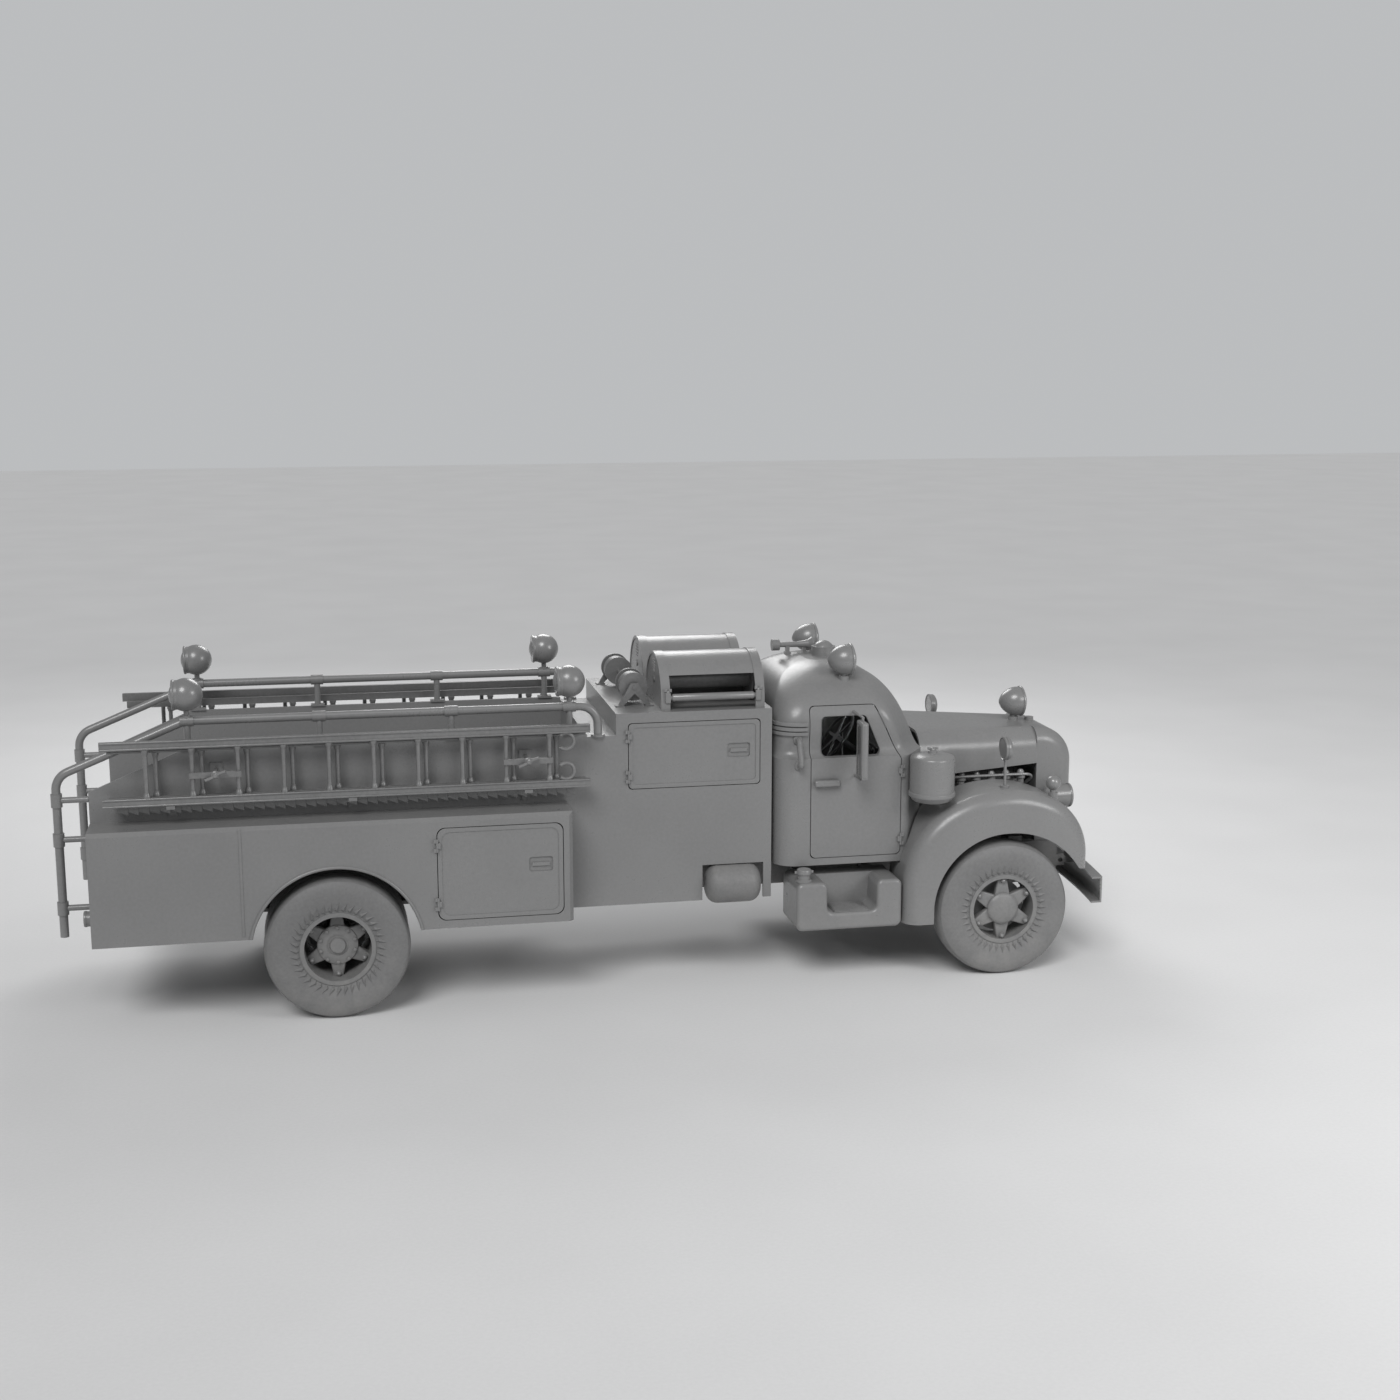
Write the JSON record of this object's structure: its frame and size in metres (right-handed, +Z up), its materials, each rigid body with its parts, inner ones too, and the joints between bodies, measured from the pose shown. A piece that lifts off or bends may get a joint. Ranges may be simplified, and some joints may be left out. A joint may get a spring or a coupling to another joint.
{
  "type": "fire engine",
  "caption": "Bonneted fire engine with pump box, open hose bed, racked ladders, covered hose reels, lamps on grab rails and dual rear wheels.",
  "frame": {"origin": "middle of the overall box, on the road", "axes": "+X forward, +Y to the left, +Z up"},
  "size_m": [7.95, 2.288, 2.569],
  "materials": {
    "paint": "satin grey paint",
    "chassis": "dull dark grey paint",
    "engine": "painted casting",
    "wheel": "satin grey paint on castings",
    "tyre": "matt rubber",
    "bright_metal": "satin metal",
    "ladder": "dull bare metal",
    "lamp": "semi-gloss grey shells",
    "glass": "clear",
    "seat": "grained cover",
    "control": "black rim"
  },
  "bodies": {
    "vehicle": {"chassis_frame": "chassis", "leaf_springs": "chassis", "front_axle": "chassis", "rear_axle": "chassis", "engine": "engine", "radiator": "chassis", "nose_shell": "paint", "hood": "paint", "front_wings": "paint", "bumper": "bright_metal", "cab_shell": "paint", "cab_glass": "glass", "bench_seat": "seat", "dashboard": "paint", "steering_wheel": "control", "step_tanks": "paint", "air_cleaner": "paint", "air_tanks": "paint", "pump_box": "paint", "water_tank": "chassis", "hose_bed": "paint", "side_pods": "paint", "ladder_racks": "chassis", "ladders": "ladder", "grab_rails": "bright_metal", "rail_lamps": "lamp", "reel_covers": "paint", "cord_reel_stand": "chassis", "roof_fittings": "lamp", "front_fittings": "lamp"},
    "knuckle_right": {"knuckle_right": "chassis"},
    "knuckle_left": {"knuckle_left": "chassis"},
    "front_wheel_right": {"wheel_front_right": "wheel", "tyre_front_right": "tyre"},
    "front_wheel_left": {"wheel_front_left": "wheel", "tyre_front_left": "tyre"},
    "rear_wheel_right": {"wheel_rear_right": "wheel", "tyres_rear_right": "tyre"},
    "rear_wheel_left": {"wheel_rear_left": "wheel", "tyres_rear_left": "tyre"},
    "cab_door_right": {"cab_door_right": "paint"},
    "cab_door_left": {"cab_door_left": "paint"},
    "pump_door_right": {"pump_door_right": "paint"},
    "pump_door_left": {"pump_door_left": "paint"},
    "pod_door_right": {"pod_door_right": "paint"},
    "pod_door_left": {"pod_door_left": "paint"},
    "hose_reel_right": {"hose_reel_right": "bright_metal"},
    "hose_reel_left": {"hose_reel_left": "bright_metal"},
    "cord_reel": {"cord_reel": "bright_metal"}
  },
  "joints": [
    {"name": "steer_right", "type": "hinge", "parent": "vehicle", "child": "knuckle_right", "pos_m": [3.09, -0.76, 0.53], "axis": [0, 0, 1], "range_deg": [-32, 32]},
    {"name": "spin_front_right", "type": "hinge", "parent": "knuckle_right", "child": "front_wheel_right", "pos_m": [3.09, -0.975, 0.53], "axis": [0, 1, 0], "continuous": true},
    {"name": "spin_rear_right", "type": "hinge", "parent": "vehicle", "child": "rear_wheel_right", "pos_m": [-2.005, -0.97, 0.53], "axis": [0, 1, 0], "continuous": true},
    {"name": "cab_door_right_swing", "type": "hinge", "parent": "vehicle", "child": "cab_door_right", "pos_m": [2.311, -0.875, 1.35], "axis": [0, 0, 1], "range_deg": [0, 65]},
    {"name": "pump_door_right_swing", "type": "hinge", "parent": "vehicle", "child": "pump_door_right", "pos_m": [0.192, -0.802, 1.805], "axis": [0, 0, -1], "range_deg": [0, 100]},
    {"name": "pod_door_right_swing", "type": "hinge", "parent": "vehicle", "child": "pod_door_right", "pos_m": [-1.274, -1.135, 1.06], "axis": [0, 0, -1], "range_deg": [0, 100]},
    {"name": "hose_reel_right_spin", "type": "hinge", "parent": "vehicle", "child": "hose_reel_right", "pos_m": [0.855, -0.385, 2.32], "axis": [1, 0, 0], "continuous": true},
    {"name": "steer_left", "type": "hinge", "parent": "vehicle", "child": "knuckle_left", "pos_m": [3.09, 0.76, 0.53], "axis": [0, 0, 1], "range_deg": [-32, 32]},
    {"name": "spin_front_left", "type": "hinge", "parent": "knuckle_left", "child": "front_wheel_left", "pos_m": [3.09, 0.975, 0.53], "axis": [0, 1, 0], "continuous": true},
    {"name": "spin_rear_left", "type": "hinge", "parent": "vehicle", "child": "rear_wheel_left", "pos_m": [-2.005, 0.97, 0.53], "axis": [0, 1, 0], "continuous": true},
    {"name": "cab_door_left_swing", "type": "hinge", "parent": "vehicle", "child": "cab_door_left", "pos_m": [2.311, 0.875, 1.35], "axis": [0, 0, -1], "range_deg": [0, 65]},
    {"name": "pump_door_left_swing", "type": "hinge", "parent": "vehicle", "child": "pump_door_left", "pos_m": [0.192, 0.802, 1.805], "axis": [0, 0, 1], "range_deg": [0, 100]},
    {"name": "pod_door_left_swing", "type": "hinge", "parent": "vehicle", "child": "pod_door_left", "pos_m": [-1.274, 1.135, 1.06], "axis": [0, 0, 1], "range_deg": [0, 100]},
    {"name": "hose_reel_left_spin", "type": "hinge", "parent": "vehicle", "child": "hose_reel_left", "pos_m": [0.855, 0.385, 2.32], "axis": [1, 0, 0], "continuous": true},
    {"name": "cord_reel_spin", "type": "hinge", "parent": "vehicle", "child": "cord_reel", "pos_m": [0.288, 0, 2.28], "axis": [0, 1, 0], "continuous": true}
  ],
  "couplings": [
    {"joint": "steer_left", "follows": "steer_right", "ratio": 1}
  ]
}
